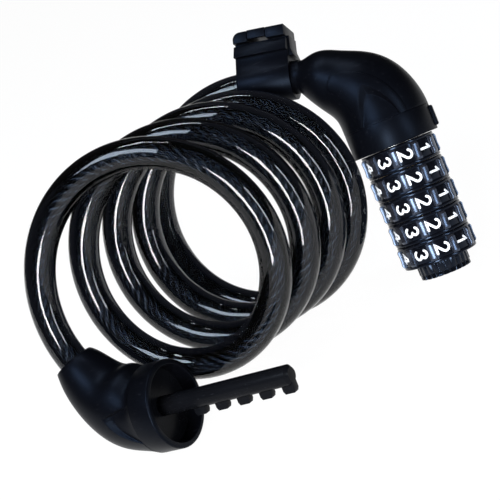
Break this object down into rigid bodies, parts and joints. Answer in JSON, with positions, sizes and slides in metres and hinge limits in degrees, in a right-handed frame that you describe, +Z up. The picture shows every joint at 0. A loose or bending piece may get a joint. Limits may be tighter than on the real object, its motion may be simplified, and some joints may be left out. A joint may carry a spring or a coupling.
{
  "type": "cable lock",
  "caption": "Coiled cable lock: steel rope in a clear sheath, elbow head with number dials, toothed plug pin in a cup, and a clip-on carrier.",
  "frame": {"origin": "centre of the rigid pieces' box, on the floor that the boot, the lowest loop and the end cap rest on", "axes": "+X from the plug's boot towards the head, +Y from the boot end of the coil to its head end, +Z up"},
  "size_m": [0.1689, 0.1378, 0.1109],
  "materials": {
    "sheath": "clear smoky",
    "rope": "stranded",
    "shell": "fine texture",
    "dial": "satin",
    "pin": "gloss black",
    "casting": "die cast",
    "steel": "bright",
    "brass": "turned"
  },
  "bodies": {
    "lock": {"cable_sheath": "sheath", "wire_rope": "rope", "head_shroud": "shell", "head_anchor": "casting", "head_ferrule": "steel", "head_anchor_pin": "steel", "lock_barrel": "brass", "click_spring": "steel", "head_collar": "shell", "disc_springs": "steel", "thrust_ring": "steel", "circlip": "steel", "plug_boot": "shell", "plug_collar": "shell", "plug_base": "pin", "plug_ferrule": "steel", "plug_base_pin": "steel", "lock_pin": "pin"},
    "dial_1_body": {"dial_1": "dial", "code_ring_1": "brass"},
    "dial_2_body": {"dial_2": "dial", "code_ring_2": "brass"},
    "dial_3_body": {"dial_3": "dial", "code_ring_3": "brass"},
    "dial_4_body": {"dial_4": "dial", "code_ring_4": "brass"},
    "dial_5_body": {"dial_5": "dial", "code_ring_5": "brass"},
    "end_cap": {"reset_sleeve": "shell", "keyway_plate": "steel"},
    "carrier_body": {"carrier": "shell"},
    "latch_body": {"release_latch": "shell"}
  },
  "joints": [
    {"name": "dial_1_turn", "type": "hinge", "parent": "lock", "child": "dial_1_body", "pos_m": [0.06473, 0.02623, 0.04926], "axis": [-0.0523, 0.3798, 0.9236], "continuous": true},
    {"name": "dial_2_turn", "type": "hinge", "parent": "lock", "child": "dial_2_body", "pos_m": [0.06524, 0.02258, 0.04039], "axis": [-0.0523, 0.3798, 0.9236], "continuous": true},
    {"name": "dial_3_turn", "type": "hinge", "parent": "lock", "child": "dial_3_body", "pos_m": [0.06574, 0.01894, 0.03153], "axis": [-0.0523, 0.3798, 0.9236], "continuous": true},
    {"name": "dial_4_turn", "type": "hinge", "parent": "lock", "child": "dial_4_body", "pos_m": [0.06624, 0.01529, 0.02266], "axis": [-0.0523, 0.3798, 0.9236], "continuous": true},
    {"name": "dial_5_turn", "type": "hinge", "parent": "lock", "child": "dial_5_body", "pos_m": [0.06674, 0.01164, 0.01379], "axis": [-0.0523, 0.3798, 0.9236], "continuous": true},
    {"name": "reset_turn", "type": "hinge", "parent": "lock", "child": "end_cap", "pos_m": [0.06715, 0.00868, 0.00659], "axis": [-0.0523, 0.3798, 0.9236], "range_deg": [0, 90]},
    {"name": "carrier_swivel", "type": "hinge", "parent": "lock", "child": "carrier_body", "pos_m": [0.02414, 0.04969, 0.08887], "axis": [0.9713, -0.2189, -0.093], "range_deg": [-120, 40]},
    {"name": "latch_press", "type": "hinge", "parent": "carrier_body", "child": "latch_body", "pos_m": [0.02784, 0.06503, 0.10109], "axis": [0.9713, -0.2189, -0.093], "range_deg": [0, 5], "stiffness_Nm_per_rad": 0.08}
  ]
}
